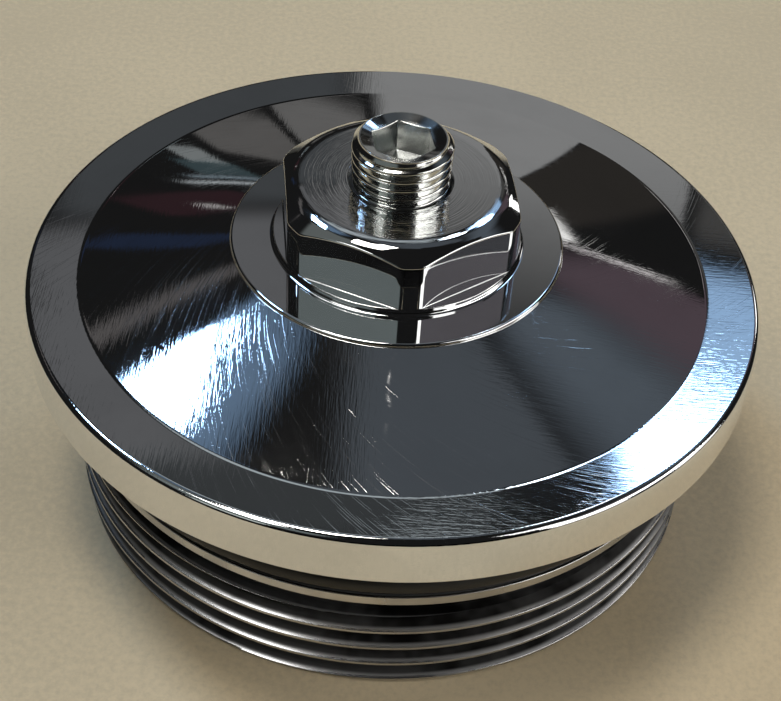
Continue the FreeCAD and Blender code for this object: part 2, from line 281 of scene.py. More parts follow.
def sector_turns(corner_turn, breaks, counts):
    """Column angles round a hexagon, closer together between some breaks.

    The breaks run from a flat's middle at 0 to a corner at 30 degrees, with a count of columns in each
    stretch, and the half sector is mirrored and repeated six times."""
    stretches = zip(breaks[:-1], breaks[1:], counts)
    half = np.concatenate([np.linspace(low, high, count, endpoint=False) for low, high, count in stretches])
    sector = np.concatenate([half, 60 - np.append(half[1:], breaks[-1])[::-1]])
    turns = (np.arange(6)[:, None] * 60 + sector).ravel()
    return np.radians(turns) + corner_turn + math.radians(30)


def slope_round(values, turns):
    """Rate of change of values along closed columns, by central differences."""
    wide = np.concatenate([values[:, -1:], values, values[:, :1]], axis=1)
    at = np.concatenate([[turns[-1] - FULL_TURN], turns, [turns[0] + FULL_TURN]])
    return np.gradient(wide, at, axis=1)[:, 1:-1]


def outward(points, directions, radius_slope, height_slope):
    """Unit normals as (radial, tangential, axial): the way round the axis crossed with the way along
    the chain."""
    radius = np.maximum(points[..., 0], TINY)
    along_r, along_z = directions[..., 0], directions[..., 1]
    side = (height_slope * along_r - radius_slope * along_z) / radius
    normals = np.stack([along_z, side, -along_r], axis=-1)
    return normals / np.maximum(np.linalg.norm(normals, axis=-1, keepdims=True), TINY)


def turned_block(corners, segments, turns):
    """Points and normals of a chain of corners carried round the axis."""
    points, directions = rounded(corners, segments, len(turns))
    slopes = [slope_round(points[..., axis], turns) for axis in (0, 1)]
    return points, outward(points, directions, *slopes)


def thread_block(turns, low, high, pitch, middle, tooth, limits):
    """Points and normals of a right-hand thread between two heights.

    The tooth is one pitch of the thread as a chain of corners about a groove's middle. Its rows climb with the
    angle, one pitch in a turn, and rows that would pass an end lie on it. limits are (radius, rise) cones
    that cut the thread back: a pair of a radius at the low end and its growth with height.
    Gives also the number of rows in one pitch.
    """
    shape, ways = rounded(tooth, 3, 1)
    even = np.linspace(-pitch / 2, pitch / 2, EVEN_ROWS, endpoint=False)
    offsets = np.unique(np.concatenate([shape[:-1, 0, 1], even]))
    radii, *ways = (np.interp(offsets, shape[:, 0, 1], part)
                    for part in (shape[:, 0, 0], ways[:, 0, 0], ways[:, 0, 1]))
    count = len(offsets)
    start = math.floor((low - middle) / pitch - turns[-1] / FULL_TURN) - 1
    pitches = math.ceil((high - low) / pitch) + 4
    rows = (middle + (start + np.arange(pitches))[:, None] * pitch + offsets).ravel()
    climb = pitch * turns / FULL_TURN
    heights = np.clip(rows[:, None] + climb, low, high)
    phase = (heights - middle - climb) / pitch
    radius, along_r, along_z = (np.interp(phase, offsets / pitch, part, period=1) for part in (radii, *ways))
    for foot, growth in limits:
        cone = foot + (heights - low) * growth
        cut = cone < radius
        size = math.hypot(growth, 1)
        radius = np.where(cut, cone, radius)
        along_r = np.where(cut, growth / size, along_r)
        along_z = np.where(cut, 1 / size, along_z)
    points = np.stack([radius, heights], axis=-1)
    normals = outward(points, np.stack([along_r, along_z], axis=-1), 0.0, pitch / FULL_TURN)
    return points, normals, count


def tooth_corners(crest, depth, pitch, crest_flat, root_flat, crest_edge, edge):
    """One pitch of a thread from crest to crest, with a groove in its middle."""
    mouth = (pitch - crest_flat) / 2
    root = root_flat / 2
    return [
        (crest, -pitch / 2, edge),
        (crest, -mouth, crest_edge, 0.95),
        (crest - depth, -root, edge, 0.3),
        (crest - depth, root, edge, 0.3),
        (crest, mouth, crest_edge, 0.95),
        (crest, pitch / 2, edge),
    ]


def weave(rows, columns, closed, climbing=None):
    """Triangles of a grid that closes round the axis, and along its rows too if it is closed.

    climbing is the first and last row of a thread and its rows in a pitch: at the seam those rows
    join the rows one pitch higher.
    """
    index = np.arange(rows * columns).reshape(rows, columns)
    landing = np.arange(rows)
    if climbing:
        first, last, step = climbing
        landing[first:last + 1] = np.minimum(landing[first:last + 1] + step, last)
    right = np.concatenate([index[:, 1:], index[landing, :1]], axis=1)
    if closed:
        index, right = np.concatenate([index, index[:1]]), np.concatenate([right, right[:1]])
    a, b = index[:-1].ravel(), right[:-1].ravel()
    c, d = right[1:].ravel(), index[1:].ravel()
    return np.concatenate([np.stack([a, b, c], axis=1), np.stack([a, c, d], axis=1)])


def put_piece(name, points, normals, turns, triangles, materials, choose=None):
    """A mesh object from a grid in radius and height, with its own normals.

    points and normals are rows by columns, in radius and height and in (radial, tangential, axial).
    choose gives each triangle's material from its middle as (radius, height).
    """
    east, north = np.cos(turns), np.sin(turns)
    radius, height = points[..., 0], points[..., 1]
    spots = np.stack([radius * east, radius * north, height], axis=-1).reshape(-1, 3)
    out, side, up = (normals[..., axis] for axis in range(3))
    facing = np.stack([out * east - side * north, out * north + side * east, up], axis=-1).reshape(-1, 3)
    _, first, merged = np.unique(np.round(spots / MERGE).astype(np.int64), axis=0,
                                 return_index=True, return_inverse=True)
    triangles = merged.reshape(-1)[triangles]
    a, b, c = triangles.T
    triangles = triangles[(a != b) & (b != c) & (c != a)]
    spots, facing = spots[first], facing[first]

    mesh = bpy.data.meshes.new(name)
    mesh.vertices.add(len(spots))
    mesh.vertices.foreach_set("co", spots.astype(np.float32).ravel())
    mesh.loops.add(triangles.size)
    mesh.loops.foreach_set("vertex_index", triangles.astype(np.int32).ravel())
    mesh.polygons.add(len(triangles))
    mesh.polygons.foreach_set("loop_start", np.arange(0, triangles.size, 3, dtype=np.int32))
    for material in materials:
        mesh.materials.append(material)
    if choose:
        middle = spots[triangles].mean(axis=1)
        slots = choose(np.hypot(middle[:, 0], middle[:, 1]), middle[:, 2])
        mesh.polygons.foreach_set("material_index", slots.astype(np.int32))
    mesh.update(calc_edges=True)
    mesh.shade_smooth()
    mesh.normals_split_custom_set_from_vertices(facing)
    if mesh.validate(verbose=False):
        raise RuntimeError(f"{name} has faces that are not sound")
    piece = bpy.data.objects.new(name, mesh)
    bpy.context.scene.collection.objects.link(piece)
    return piece


def dress(piece, body, node):
    """Ride a piece on its body, in place of a node."""
    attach(piece, body)
    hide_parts(node)


# Finishes

class Wiring:
    """A short way to put nodes into a tree and join them."""

    def __init__(self, tree):
        self.tree = tree

    def feed(self, socket, value):
        """Join an input to a socket, or give it a plain value."""
        if isinstance(value, bpy.types.NodeSocket):
            self.tree.links.new(value, socket)
        else:
            socket.default_value = value

    def put(self, kind, values=None, **settings):
        """A node with its settings, whose inputs are joined to sockets or given plain values."""
        node = self.tree.nodes.new(kind)
        for name, value in settings.items():
            setattr(node, name, value)
        for name, value in (values or {}).items():
            self.feed(node.inputs[name], value)
        return node

    def parts(self, vector):
        """The X, Y and Z of a vector."""
        return self.put("ShaderNodeSeparateXYZ", {0: vector}).outputs

    def whole(self, **parts):
        """A vector from its X, Y and Z."""
        return self.put("ShaderNodeCombineXYZ", parts).outputs[0]

    def turned(self, vector, angle):
        """A vector turned about the Z axis."""
        values = {"Vector": vector, "Angle": angle}
        return self.put("ShaderNodeVectorRotate", values, rotation_type="Z_AXIS").outputs[0]

    def sum(self, operation, *values):
        """The result of a Math node."""
        return self.put("ShaderNodeMath", dict(enumerate(values)), operation=operation).outputs[0]

    def plus(self, *values):
        """Values added, from first to last."""
        return functools.reduce(lambda one, other: self.sum("ADD", one, other), values)

    def minus(self, one, other):
        """One value less another."""
        return self.sum("SUBTRACT", one, other)

    def times(self, *values):
        """Values multiplied, from first to last."""
        return functools.reduce(lambda one, other: self.sum("MULTIPLY", one, other), values)

    def vector(self, operation, *values, out=0):
        """The result of a Vector Math node."""
        return self.put("ShaderNodeVectorMath", dict(enumerate(values)), operation=operation).outputs[out]

    def scaled(self, vector, size):
        """A vector times a value."""
        return self.put("ShaderNodeVectorMath", {0: vector, "Scale": size}, operation="SCALE").outputs[0]

    def span(self, value, low, high, new_low=0.0, new_high=1.0):
        """A value moved smoothly from one span to another."""
        values = {"Value": value, "From Min": low, "From Max": high, "To Min": new_low, "To Max": new_high}
        return self.put("ShaderNodeMapRange", values, interpolation_type="SMOOTHSTEP").outputs["Result"]

    def noise(self, place, scale, detail, roughness=0.5):
        """The value of a noise texture."""
        values = {"Vector": place, "Scale": scale, "Detail": detail, "Roughness": roughness}
        return self.put("ShaderNodeTexNoise", values).outputs[0]

    def blend(self, share, low, high):
        """A mix of two colours."""
        node = self.put("ShaderNodeMix", data_type="RGBA")
        sockets = [item for item in node.inputs if item.type == "RGBA"]
        for socket, value in [(node.inputs[0], share), (sockets[0], low), (sockets[1], high)]:
            self.feed(socket, value)
        return next(item for item in node.outputs if item.type == "RGBA")

    def bump(self, height, distance, strength=1.0):
        """A normal from a height, in metres of distance."""
        values = {"Height": height, "Distance": distance, "Strength": strength}
        return self.put("ShaderNodeBump", values).outputs[0]

    def group(self, name, maker, **values):
        """A shared group, built once, set into a material with its own values."""
        tree = bpy.data.node_groups.get(name) or maker(name)
        node = self.put("ShaderNodeGroup", node_tree=tree)
        for label, value in values.items():
            self.feed(node.inputs[label], value)
        return node.outputs


def paint(tint, share=1.0):
    """A colour for a node, at a share of its strength."""
    return (*[share * part for part in tint], 1)


def new_group(name, inputs, outputs):
    """A shader node group of values on a place, as its wiring, its inputs and its output node."""
    group = bpy.data.node_groups.new(name, "ShaderNodeTree")
    group.interface.new_socket("Place", in_out="INPUT", socket_type="NodeSocketVector")
    for label in inputs:
        group.interface.new_socket(label, in_out="INPUT", socket_type="NodeSocketFloat")
    for label in outputs:
        group.interface.new_socket(label, in_out="OUTPUT", socket_type="NodeSocketFloat")
    wiring = Wiring(group)
    return group, wiring, wiring.put("NodeGroupInput").outputs, wiring.put("NodeGroupOutput").inputs


def polishing_marks(name):
    """Spiral marks of hand polishing: noise on the direction from the axis, turned back by the lean times
    the logarithm of the radius, and drawn out along the radius.

    Straight strokes are noise drawn out along Y on the left and along X on the right. Rings are noise on the
    radius that changes slowly round the axis. Amount, Strokes and Rings say how strong each kind is."""
    group, wiring, given, result = new_group(
        name, ["Lean", "Around", "Along", "Amount", "Strokes", "Rings"], ["Height", "Marks"])
    spot = given["Place"]
    east, north, up = wiring.parts(spot)
    flat = wiring.whole(X=east, Y=north)
    radius = wiring.vector("LENGTH", flat, out=1)
    back = wiring.times(wiring.sum("LOGARITHM", radius, math.e), given["Lean"], -1.0)
    spread = wiring.scaled(wiring.turned(wiring.vector("NORMALIZE", flat), back), given["Around"])
    drawn = wiring.times(wiring.plus(radius, up), given["Along"])
    place = wiring.vector("ADD", spread, wiring.whole(Z=drawn))
    fine = wiring.noise(place, 1.0, 2.0, 0.6)
    longer = wiring.vector("ADD", wiring.vector("MULTIPLY", place, (0.55, 0.55, 0.4)), (7.3, 2.1, 5.7))
    patches = wiring.span(wiring.noise(spot, 70.0, 3.0), 0.38, 0.62, 0.3, 1.0)
    scored = wiring.times(wiring.span(wiring.noise(longer, 1.0, 1.0), 0.60, 0.72), patches)
    spiral = wiring.plus(wiring.times(fine, 0.6), scored)
    along_y, along_x = (wiring.noise(wiring.vector("MULTIPLY", spot, stretch), 1.0, 2.0, 0.6)
                        for stretch in [(3400.0, 200.0, 900.0), (330.0, 3400.0, 900.0)])
    side = wiring.span(east, -0.004, 0.008)
    straight = wiring.plus(wiring.times(along_x, side), wiring.times(along_y, wiring.minus(1.0, side)))
    slow = [wiring.times(part, 150.0) for part in (east, north)]
    round_axis = wiring.whole(X=wiring.times(radius, 4200.0), Y=slow[0], Z=slow[1])
    rings = wiring.noise(round_axis, 1.0, 2.0, 0.6)
    height = wiring.plus(wiring.times(spiral, given["Amount"]), wiring.times(straight, given["Strokes"]),
                         wiring.times(rings, given["Rings"]))
    wiring.feed(result["Height"], height)
    wiring.feed(result["Marks"], scored)
    return group


def handling_marks(name):
    """Sparse short scratches in three directions: noise stretched along a line, thinned to its middle values
    and broken up by a second, coarser noise. Smudges are a soft, coarse noise."""
    group, wiring, given, result = new_group(name, ["Fineness"], ["Scratches", "Smudges"])
    spot = given["Place"]
    layers = []
    for turn, shift in [(0.5, 0.0), (1.7, 3.1), (2.6, 6.3)]:
        stretched = wiring.vector("MULTIPLY", wiring.turned(spot, turn), (1.0, 0.035, 1.0))
        line = wiring.noise(wiring.vector("ADD", stretched, (shift, shift, shift)), given["Fineness"], 1.0)
        thin = wiring.span(wiring.sum("ABSOLUTE", wiring.minus(line, 0.5)), 0.0, 0.007, 1.0, 0.0)
        patch = wiring.noise(wiring.vector("ADD", spot, (shift, 0.3, shift)), 190.0, 2.0)
        layers.append(wiring.times(thin, wiring.span(patch, 0.66, 0.74)))
    scratches = wiring.sum("MAXIMUM", wiring.sum("MAXIMUM", layers[0], layers[1]), layers[2])
    wiring.feed(result["Scratches"], scratches)
    wiring.feed(result["Smudges"], wiring.span(wiring.noise(spot, 55.0, 4.0, 0.6), 0.40, 0.68))
    return group


def lathe_marks(name):
    """Fine turning marks: noise on the height and the radius alone, so that it runs round the axis."""
    group, wiring, given, result = new_group(name, ["Fineness"], ["Height", "Radius"])
    east, north, up = wiring.parts(given["Place"])
    radius = wiring.vector("LENGTH", wiring.whole(X=east, Y=north), out=1)
    marks = wiring.noise(wiring.whole(X=radius, Z=up), given["Fineness"], 2.0, 0.7)
    wiring.feed(result["Height"], marks)
    wiring.feed(result["Radius"], radius)
    return group


def new_finish(name):
    """A material with its wiring, its Principled shader's inputs and the place on the object."""
    material = bpy.data.materials.new(name)
    material.use_nodes = True
    shader = next(node for node in material.node_tree.nodes if node.type == "BSDF_PRINCIPLED")
    wiring = Wiring(material.node_tree)
    place = wiring.put("ShaderNodeTexCoord").outputs["Object"]
    return material, wiring, shader.inputs, place


def dried_drip(wiring, place):
    """Mask of a drip that dried on the front of the cone: a narrow band along Y, broken into beads by noise."""
    across, along, _ = wiring.parts(place)
    wander = wiring.times(wiring.minus(wiring.noise(place, 160.0, 1.0), 0.5), 0.002)
    off = wiring.sum("ABSOLUTE", wiring.minus(wiring.minus(across, 0.0006), wander))
    band = wiring.span(off, 0.0, 0.0005, 1.0, 0.0)
    ends = wiring.times(wiring.span(along, -0.0385, -0.031), wiring.span(along, -0.0236, -0.0252))
    beads = wiring.span(wiring.noise(place, 620.0, 2.0), 0.44, 0.62)
    return wiring.times(band, ends, beads)


def polished_aluminium(finish, cap):
    """Mirror-polished aluminium with polishing marks, handling scratches, faint smudges and a dried drip.

    The marks are strongest on the front of the rim and cone and weak on the ring and the hexagon's sides. Rings
    show on the hexagon's top only."""
    material, wiring, shader, place = new_finish("polished_aluminium")
    _, along, height = wiring.parts(place)
    rings = wiring.span(height, cap.top - 0.0008, cap.top - 0.0001, 0.0, 11.0)
    walls = wiring.span(height, cap.ring + 0.0004, cap.ring + 0.0009, 1.0, 0.05)
    below = wiring.span(height, cap.ring - cap.ring_step, cap.ring, 1.0, 0.05)
    front = wiring.times(wiring.span(along, 0.012, -0.012, 0.3, 1.0), wiring.times(walls, below))
    patches = wiring.span(wiring.noise(place, 45.0, 2.0), 0.35, 0.6, 3.0, 8.0)
    marks = wiring.group("Polishing marks", polishing_marks, Place=place, Lean=1.1, Around=380.0, Along=320.0,
                         Amount=front, Strokes=wiring.times(front, patches), Rings=rings)
    wear = wiring.group("Handling marks", handling_marks, Place=place, Fineness=900.0)
    tint = wiring.blend(wear["Smudges"], paint(finish.aluminium), paint(finish.aluminium, 0.93))
    rough = wiring.plus(
        wiring.span(wear["Smudges"], 0.0, 1.0, 0.03, 0.06), wiring.times(marks["Marks"], front, 0.09),
        wiring.times(wear["Scratches"], 0.03), wiring.times(dried_drip(wiring, place), 0.15))
    wiring.feed(shader["Base Color"], tint)
    wiring.feed(shader["Roughness"], rough)
    wiring.feed(shader["Normal"], wiring.bump(marks["Height"], 0.0000014))
    wiring.feed(shader["Metallic"], 1.0)
    return material


def turned_aluminium(finish, cap):
    """Machined aluminium under the flange: turning marks, and old oil with painted shade darkening the thread
    grooves.
    """
    material, wiring, shader, place = new_finish("turned_aluminium")
    wear = wiring.group("Handling marks", handling_marks, Place=place, Fineness=700.0)
    turning = wiring.group("Lathe marks", lathe_marks, Place=place, Fineness=3500.0)
    deep = wiring.span(turning["Radius"], cap.crest_radius - 0.4 * cap.thread_depth,
                       cap.crest_radius - 0.03 * cap.thread_depth, 1.0, 0.0)
    # Painted shade: the thread grooves go to a dark, non-metallic colour, partly old oil and partly the shade
    # that falls in them.
    groove_oil_and_shade = wiring.times(deep, wiring.span(wear["Smudges"], 0.0, 1.0, 0.9, 1.0))
    tint = wiring.blend(wear["Smudges"], paint(finish.turned), paint(finish.turned, 0.7))
    tint = wiring.blend(groove_oil_and_shade, tint, paint(finish.soil_and_shade))
    rough = wiring.plus(wiring.span(wear["Smudges"], 0.0, 1.0, 0.2, 0.34), wiring.times(groove_oil_and_shade, 0.25))
    wiring.feed(shader["Base Color"], tint)
    wiring.feed(shader["Roughness"], rough)
    wiring.feed(shader["Metallic"], wiring.span(groove_oil_and_shade, 0.0, 1.0, 1.0, 0.0))
    wiring.feed(shader["Normal"], wiring.bump(turning["Height"], 0.00001, 0.7))
    wiring.feed(shader["Specular IOR Level"], 0.05)
    return material


def plated_steel(finish, plug):
    """Bright plating over machined steel, duller inside the socket, with painted shade darkening the socket's
    floor.
    """
    material, wiring, shader, place = new_finish("plated_steel")
    wear = wiring.group("Handling marks", handling_marks, Place=place, Fineness=2500.0)
    turning = wiring.group("Lathe marks", lathe_marks, Place=place, Fineness=9000.0)
    inside = wiring.span(turning["Radius"], plug.half_flats, 1.2 * plug.half_flats, 1.0, 0.0)
    _, _, height = wiring.parts(place)
    deep = wiring.span(height, plug.top - plug.socket_depth, plug.top - 0.8 * plug.socket_depth, 0.3, 0.0)
    tint = wiring.blend(wear["Smudges"], paint(finish.steel), paint(finish.steel, 0.86))
    # Painted shade: the socket's floor is blended towards the near-black colour, where little light reaches.
    tint = wiring.blend(wiring.times(inside, deep), tint, paint(finish.soil_and_shade))
    rough = wiring.plus(
        wiring.span(wear["Smudges"], 0.0, 1.0, 0.05, 0.12), wiring.times(wear["Scratches"], 0.25),
        wiring.times(inside, 0.16))
    wiring.feed(shader["Base Color"], tint)
    wiring.feed(shader["Roughness"], rough)
    wiring.feed(shader["Normal"], wiring.bump(turning["Height"], 0.000004, 0.6))
    wiring.feed(shader["Metallic"], 1.0)
    return material


def black_rubber(finish):
    """Black rubber with a moulded grain."""
    material, wiring, shader, place = new_finish("black_rubber")
    wear = wiring.group("Handling marks", handling_marks, Place=place, Fineness=500.0)
    tint = wiring.blend(wear["Smudges"], paint(finish.rubber), paint(finish.rubber, 2.4))
    wiring.feed(shader["Base Color"], tint)
    wiring.feed(shader["Roughness"], wiring.span(wear["Smudges"], 0.0, 1.0, 0.42, 0.62))
    wiring.feed(shader["Normal"], wiring.bump(wiring.noise(place, 2600.0, 3.0), 0.00004, 0.4))
    return material


def pale_board(finish):
    """Pale warm board with fine fibres, with painted shade making it darker far from the part, where the light
    falls off.
    """
    material, wiring, shader, place = new_finish("pale_board")
    fibres = wiring.plus(wiring.noise(place, 900.0, 2.0, 0.7), wiring.noise(place, 12.0, 2.0))
    tint = wiring.blend(wiring.span(fibres, 0.7, 1.3), paint(finish.floor, 0.84), paint(finish.floor))
    # Painted shade: the board darkens with distance from the part, standing in for light falling off.
    far = wiring.span(wiring.vector("LENGTH", place, out=1), 0.17, 0.9)
    wiring.feed(shader["Base Color"], wiring.blend(far, tint, paint(finish.floor, 0.1)))
    wiring.feed(shader["Roughness"], 0.9)
    return material


# Pieces

class FILTERCAP_OT_cap_body(bpy.types.Operator):
    """Build the turned and milled cap"""

    bl_idname = "filter_cap.cap_body"
    bl_label = "Cap body"

    def execute(self, context):
        settings = context.scene.filter_cap
        cap, edge = settings.cap, settings.cap.fine_edge
        turns = sector_turns(cap.hex_turn, [0, 22.9, 26.9, 30], [13, 13, 4])
        root = cap.crest_radius - cap.thread_depth
        tooth = tooth_corners(cap.crest_radius, cap.thread_depth, cap.thread_pitch, cap.crest_flat,
                              cap.root_flat, edge, edge)
        foot = (cap.crest_radius - cap.foot_chamfer, 1.0)
        thread, thread_normals, step = thread_block(
            turns, 0.0, cap.thread_top, cap.thread_pitch, cap.thread_phase, tooth, [foot])
        cavity, cavity_normals = turned_block([
            (cap.cavity_radius / 2, cap.ceiling, edge),
            (cap.cavity_radius - cap.cavity_corner, cap.ceiling, edge),
            (cap.cavity_radius, cap.ceiling - cap.cavity_corner, edge),
            (cap.cavity_radius, cap.mouth_chamfer, edge),
            (cap.cavity_radius + cap.mouth_chamfer, 0.0, edge),
            (thread[0, :, 0] - edge, 0.0, edge),
        ], 3, turns)
        wall = smooth_least(
            hexagon_radius(turns, cap.half_flats, cap.hex_turn, edge), np.full(len(turns), cap.corner_radius),
            cap.corner_edge)
        chamfer = cap.chamfer_rise / (cap.corner_radius - cap.top_radius)
        port_end = cap.top - cap.port_depth
        taper = settings.plug.taper / 2
        upper, upper_normals = turned_block([
            (root + 0.9 * (thread[-1, :, 0] - root), cap.thread_top, edge),
            (root - TINY, cap.thread_top, edge),
            (root, cap.land_low, edge),
            (cap.pilot_radius, cap.land_low, edge),
            (cap.pilot_radius, cap.land_high, edge),
            (cap.groove_radius, cap.land_high, 2 * edge),
            (cap.groove_radius, cap.groove_high, 2 * edge),
            (cap.pilot_radius, cap.groove_high, edge),
            (cap.pilot_radius, cap.underside, 2 * edge),
            (cap.flange_radius, cap.underside, 2 * edge),
            (cap.flange_radius, cap.rim, cap.flange_edge),
            (cap.rim_inner, cap.rim, cap.rim_hollow),
            (cap.ring_radius, cap.ring - cap.ring_step, edge, 0.2),
            (cap.ring_radius, cap.ring, cap.ring_edge, 0.75),
            (cap.corner_radius, cap.ring, cap.foot_hollow),
            (cap.corner_radius, cap.ring + cap.ledge, edge),
            (wall, cap.ring + cap.ledge, edge),
            (wall, cap.top - (wall - cap.top_radius) * chamfer, cap.hex_edge, 0.18),
            (cap.top_radius, cap.top, cap.top_edge, 0.8),
            (cap.port_radius + cap.port_chamfer, cap.top, edge),
            (cap.port_radius, cap.top - cap.port_chamfer, edge),
            (cap.port_radius - cap.port_depth * taper, port_end, edge),
            (cap.drill_radius, port_end, edge),
            (cap.drill_radius, cap.ceiling, edge),
            (cap.drill_radius + cap.cavity_corner, cap.ceiling, edge),
        ], 5, turns)
        points = np.concatenate([cavity, thread, upper])
        normals = np.concatenate([cavity_normals, thread_normals, upper_normals])
        climbing = (len(cavity), len(cavity) + len(thread) - 1, step)
        triangles = weave(len(points), len(turns), True, climbing)

        def finish_of(radius, height):
            """Polished above the flange's underside and outside the port, turned elsewhere."""
            shown = (height > cap.underside + edge) & (radius > cap.port_radius + cap.port_chamfer / 2)
            return np.where(shown, 0, 1)

        materials = [polished_aluminium(settings.finish, cap), turned_aluminium(settings.finish, cap)]
        piece = put_piece("cap_body_polished", points, normals, turns, triangles, materials, finish_of)
        dress(piece, "cap", "cap_body")
        return {"FINISHED"}


class FILTERCAP_OT_seal(bpy.types.Operator):
    """Build the rubber O-ring"""

    bl_idname = "filter_cap.seal"
    bl_label = "O-ring"

    def execute(self, context):
        settings = context.scene.filter_cap
        section = (SEAL_HIGH.z - SEAL_LOW.z) / 2
        middle = SEAL_HIGH.x - section
        height = (SEAL_HIGH.z + SEAL_LOW.z) / 2
        turns = np.linspace(0, FULL_TURN, SEAL_COLUMNS, endpoint=False)
        round_section = np.linspace(0, FULL_TURN, SEAL_ROWS, endpoint=False)[:, None] + 0 * turns
        out, up = np.cos(round_section), np.sin(round_section)
        points = np.stack([middle + section * out, height + section * up], axis=-1)
        normals = np.stack([out, np.zeros_like(out), up], axis=-1)
        triangles = weave(len(points), len(turns), True)
        materials = [black_rubber(settings.finish)]
        piece = put_piece("o_ring_rubber", points, normals, turns, triangles, materials)
        dress(piece, "cap", "o_ring")
        return {"FINISHED"}


class FILTERCAP_OT_port_plug(bpy.types.Operator):
    """Build the pipe plug"""

    bl_idname = "filter_cap.port_plug"
    bl_label = "Port plug"

    def execute(self, context):
        settings = context.scene.filter_cap
        plug, edge, mouth = settings.plug, settings.plug.fine_edge, settings.cap.top
        half_taper = plug.taper / 2
        turns = sector_turns(plug.socket_turn, [0, 27.5, 30], [12, 8])
        end_radius = plug.radius - (mouth - plug.end) * half_taper
        lead_foot = plug.radius + (plug.top - plug.lead - mouth) * half_taper
        lead_growth = (plug.rim_radius - lead_foot) / plug.lead
        rim_low = plug.top - 2 * edge
        tooth = tooth_corners(plug.radius + (plug.top - mouth) * half_taper, plug.thread_depth, plug.pitch,
                              plug.crest_flat, plug.root_flat, plug.crest_edge, edge)
        limits = [
            (end_radius - plug.end_chamfer, 1.0),
            (plug.rim_radius - (plug.top - plug.end) * lead_growth, lead_growth),
        ]
        thread, thread_normals, step = thread_block(
            turns, plug.end, rim_low, plug.pitch, mouth - plug.thread_start, tooth, limits)
        taper_back = (plug.top - thread[..., 1]) * half_taper
        thread[..., 0] -= np.where(thread[..., 1] < plug.top - plug.lead, taper_back, 0)
        socket = hexagon_radius(turns, plug.half_flats, plug.socket_turn, edge)
        floor = plug.top - plug.socket_depth
        dish = plug.dish_depth / plug.dish_radius
        end_block, end_normals = turned_block([
            (0.0, plug.end, edge),
            (plug.half_flats, plug.end, edge),
            (thread[0, :, 0] - edge, plug.end, edge),
        ], 3, turns)
        top_block, top_normals = turned_block([
            (plug.rim_radius, plug.top - edge, edge),
            (plug.rim_radius, plug.top, edge),
            (plug.dish_radius, plug.top, edge),
            (socket, plug.top - (plug.dish_radius - socket) * dish, plug.mouth_edge),
            (socket, floor, edge),
            (0.0, floor - plug.point, edge),
        ], 4, turns)
        points = np.concatenate([end_block, thread, top_block])
        normals = np.concatenate([end_normals, thread_normals, top_normals])
        climbing = (len(end_block), len(end_block) + len(thread) - 1, step)
        triangles = weave(len(points), len(turns), False, climbing)
        materials = [plated_steel(settings.finish, plug)]
        piece = put_piece("port_plug_plated", points, normals, turns, triangles, materials)
        dress(piece, "plug", "port_plug")
        return {"FINISHED"}


# Stage

def heading(azimuth, altitude):
    """Unit vector towards an azimuth, from +Y towards +X, and an altitude, in degrees."""
    turn, lift = math.radians(azimuth), math.radians(altitude)
    return Vector((math.sin(turn) * math.cos(lift), math.cos(turn) * math.cos(lift), math.sin(lift)))


def soft_light(name, target, azimuth, altitude, distance, width, height, brightness, tint):
    """A rectangular light that faces the object, as bright as a surface of that brightness.

    Its width and height are angles in degrees, as seen from the object."""
    light = bpy.data.lights.new(name, "AREA")
    light.shape = "RECTANGLE"
    light.size, light.size_y = (2 * distance * math.tan(math.radians(side / 2)) for side in (width, height))
    light.energy = brightness * math.pi * light.size * light.size_y
    light.color = tint
    lamp = bpy.data.objects.new(name, light)
    way = heading(azimuth, altitude)
    lamp.location = target + way * distance
    lamp.rotation_mode = "QUATERNION"
    lamp.rotation_quaternion = way.to_track_quat("Z", "Y")
    bpy.context.scene.collection.objects.link(lamp)


def glow(name, tint, brightness, fades):
    """A clear material that adds light, fading over shares of the card's left, right, lower and upper sides.

    Without brightness it is black and not clear."""
    material = bpy.data.materials.new(name)
    material.use_nodes = True
    wiring = Wiring(material.node_tree)
    output = next(node for node in material.node_tree.nodes if node.type == "OUTPUT_MATERIAL")
    across, up, _ = wiring.parts(wiring.put("ShaderNodeUVMap").outputs[0])
    strength = brightness
    ends = [(across, 0, 1), (across, 1, -1), (up, 0, 1), (up, 1, -1)]
    for fade, (place, side, inward) in zip(fades, ends):
        if fade:
            strength = wiring.times(wiring.span(place, side, side + inward * fade), strength)
    light = wiring.put("ShaderNodeEmission", {"Color": paint(tint), "Strength": strength}).outputs[0]
    if brightness:
        clear = wiring.put("ShaderNodeBsdfTransparent").outputs[0]
        light = wiring.put("ShaderNodeAddShader", {0: clear, 1: light}).outputs[0]
    wiring.feed(output.inputs["Surface"], light)
    return material


def sky_card(name, target, reach, span, rise, tint, brightness, fades=SHARP, lean=0.0):
    """A glowing patch of a sphere round the object, from one azimuth to another and one altitude to another.

    Angles are in degrees. Going up the card, its sides move across by the lean."""
    across, up = np.meshgrid(np.linspace(0, 1, CARD_COLUMNS), np.linspace(0, 1, CARD_ROWS))
    turn = np.radians(span[0] + (span[1] - span[0]) * across + lean * up)
    lift = np.radians(rise[0] + (rise[1] - rise[0]) * up)
    way = np.stack([np.sin(turn) * np.cos(lift), np.cos(turn) * np.cos(lift), np.sin(lift)], axis=-1)
    spots = np.array(target) + reach * way.reshape(-1, 3)
    index = np.arange(across.size).reshape(across.shape)
    faces = np.stack([index[:-1, :-1], index[:-1, 1:], index[1:, 1:], index[1:, :-1]], axis=-1).reshape(-1, 4)
    mesh = bpy.data.meshes.new(name)
    mesh.from_pydata(spots.tolist(), [], faces.tolist())
    places = np.stack([across.ravel(), up.ravel()], axis=-1)[faces.ravel()]
    mesh.uv_layers.new(name="UVMap").uv.foreach_set("vector", places.astype(np.float32).ravel())
    mesh.materials.append(glow(name, tint, brightness, fades))
    card = bpy.data.objects.new(name, mesh)
    bpy.context.scene.collection.objects.link(card)
    card.visible_camera = False
    card.visible_shadow = False
    card.visible_diffuse = bool(brightness)


